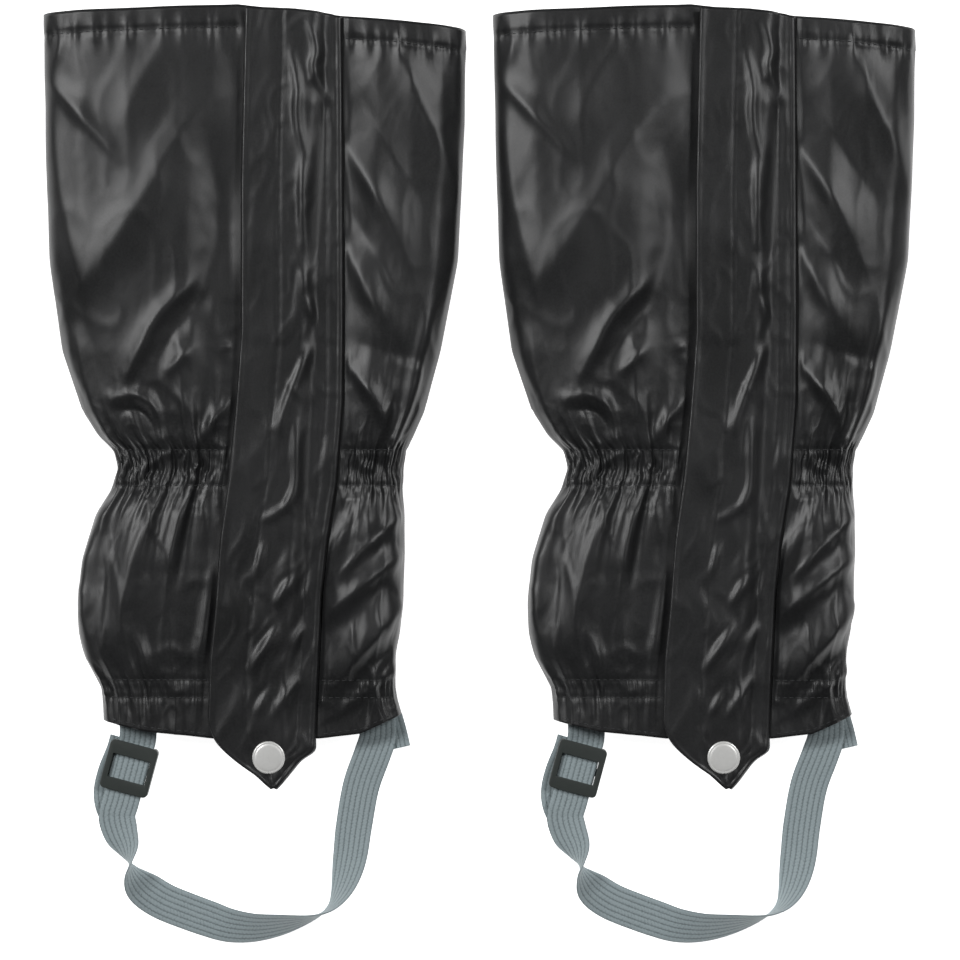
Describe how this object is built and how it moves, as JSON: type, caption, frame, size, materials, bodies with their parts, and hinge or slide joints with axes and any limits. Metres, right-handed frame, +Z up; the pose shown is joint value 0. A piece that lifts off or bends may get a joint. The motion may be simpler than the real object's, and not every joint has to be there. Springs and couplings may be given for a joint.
{
  "type": "hiking gaiters",
  "caption": "Pair of front-opening fabric leg gaiters with elasticated calf and ankle, storm flap over a zip, snap toe tab, and adjustable elastic foot strap.",
  "frame": {"origin": "on the surface the pair lies on, under the middle of its bounding box", "axes": "+Z up out of the surface, +Y along the legs from the foot straps to the calf openings, +X from the left gaiter to the right one"},
  "size_m": [0.4713, 0.5081, 0.0268],
  "materials": {
    "shell": "satin woven polyester, dark grey-black",
    "lining": "matt woven elastic",
    "grip": "matt hook and loop tape",
    "zip": "matt nylon",
    "zip_metal": "dark satin metal",
    "snap": "satin nickel",
    "webbing": "ribbed woven elastic webbing, blue-grey",
    "plastic": "moulded acetal, dark grey-green"
  },
  "bodies": {
    "left_leg": {"left_loop_panel": "shell", "left_flap_panel": "shell", "left_top_elastic": "lining", "left_calf_elastic": "lining", "left_ankle_elastic": "lining", "left_flap_seam_band": "shell", "left_loop_tape": "grip", "left_under_tab": "shell", "left_zip_tape_loop_side": "zip", "left_zip_tape_flap_side": "zip", "left_zip_teeth_loop_side": "zip", "left_zip_teeth_flap_side": "zip", "left_zip_stop_loop_side": "zip_metal", "left_zip_stop_flap_side": "zip_metal", "left_zip_retainer_box": "zip", "left_snap_stud": "snap", "left_snap_post": "snap", "left_strap_anchor_buckle_side": "webbing", "left_strap_anchor_sewn_side": "webbing"},
    "left_flap": {"left_storm_flap": "shell", "left_hook_tape": "grip", "left_snap_cap": "snap", "left_snap_socket": "snap"},
    "left_zip_slider": {"left_zip_slider": "zip_metal"},
    "left_pull_tab": {"left_zip_pull_tab": "zip_metal"},
    "left_strap": {"left_foot_strap": "webbing", "left_strap_tail": "webbing"},
    "left_buckle": {"left_strap_buckle": "plastic"},
    "right_leg": {"right_loop_panel": "shell", "right_flap_panel": "shell", "right_top_elastic": "lining", "right_calf_elastic": "lining", "right_ankle_elastic": "lining", "right_flap_seam_band": "shell", "right_loop_tape": "grip", "right_under_tab": "shell", "right_zip_tape_loop_side": "zip", "right_zip_tape_flap_side": "zip", "right_zip_teeth_loop_side": "zip", "right_zip_teeth_flap_side": "zip", "right_zip_stop_loop_side": "zip_metal", "right_zip_stop_flap_side": "zip_metal", "right_zip_retainer_box": "zip", "right_snap_stud": "snap", "right_snap_post": "snap", "right_strap_anchor_buckle_side": "webbing", "right_strap_anchor_sewn_side": "webbing"},
    "right_flap": {"right_storm_flap": "shell", "right_hook_tape": "grip", "right_snap_cap": "snap", "right_snap_socket": "snap"},
    "right_zip_slider": {"right_zip_slider": "zip_metal"},
    "right_pull_tab": {"right_zip_pull_tab": "zip_metal"},
    "right_strap": {"right_foot_strap": "webbing", "right_strap_tail": "webbing"},
    "right_buckle": {"right_strap_buckle": "plastic"}
  },
  "joints": [
    {"name": "left_flap_hinge", "type": "hinge", "parent": "left_leg", "child": "left_flap", "pos_m": [-0.08848, 0.05199, 0.0217], "axis": [0.0436, 0.999, 0], "range_deg": [0, 140]},
    {"name": "left_zip_slide", "type": "slide", "parent": "left_leg", "child": "left_zip_slider", "axis": [-0.0436, -0.999, 0], "range_m": [0, 0.345]},
    {"name": "left_pull_tab_hinge", "type": "hinge", "parent": "left_zip_slider", "child": "left_pull_tab", "pos_m": [-0.09962, 0.23235, 0.02235], "axis": [-0.999, 0.0436, 0], "range_deg": [0, 84]},
    {"name": "left_strap_swing", "type": "hinge", "parent": "left_leg", "child": "left_strap", "pos_m": [-0.12175, -0.141, 0.0047], "axis": [-1, 0, 0], "range_deg": [0, 60]},
    {"name": "left_buckle_slide", "type": "slide", "parent": "left_strap", "child": "left_buckle", "axis": [-0.2588, -0.9659, 0], "range_m": [0, 0.012]},
    {"name": "right_flap_hinge", "type": "hinge", "parent": "right_leg", "child": "right_flap", "pos_m": [0.15502, 0.05199, 0.0217], "axis": [0.0436, 0.999, 0], "range_deg": [0, 140]},
    {"name": "right_zip_slide", "type": "slide", "parent": "right_leg", "child": "right_zip_slider", "axis": [-0.0436, -0.999, 0], "range_m": [0, 0.345]},
    {"name": "right_pull_tab_hinge", "type": "hinge", "parent": "right_zip_slider", "child": "right_pull_tab", "pos_m": [0.14388, 0.23235, 0.02235], "axis": [-0.999, 0.0436, 0], "range_deg": [0, 84]},
    {"name": "right_strap_swing", "type": "hinge", "parent": "right_leg", "child": "right_strap", "pos_m": [0.12175, -0.141, 0.0047], "axis": [-1, 0, 0], "range_deg": [0, 60]},
    {"name": "right_buckle_slide", "type": "slide", "parent": "right_strap", "child": "right_buckle", "axis": [-0.2588, -0.9659, 0], "range_m": [0, 0.012]},
    {"name": "pair_spread", "type": "slide", "parent": "left_leg", "child": "right_leg", "axis": [1, 0, 0], "range_m": [0, 0.25]}
  ],
  "couplings": [
    {"joint": "left_pull_tab_hinge", "follows": "left_flap_hinge", "ratio": 0.6},
    {"joint": "right_pull_tab_hinge", "follows": "right_flap_hinge", "ratio": 0.6}
  ]
}
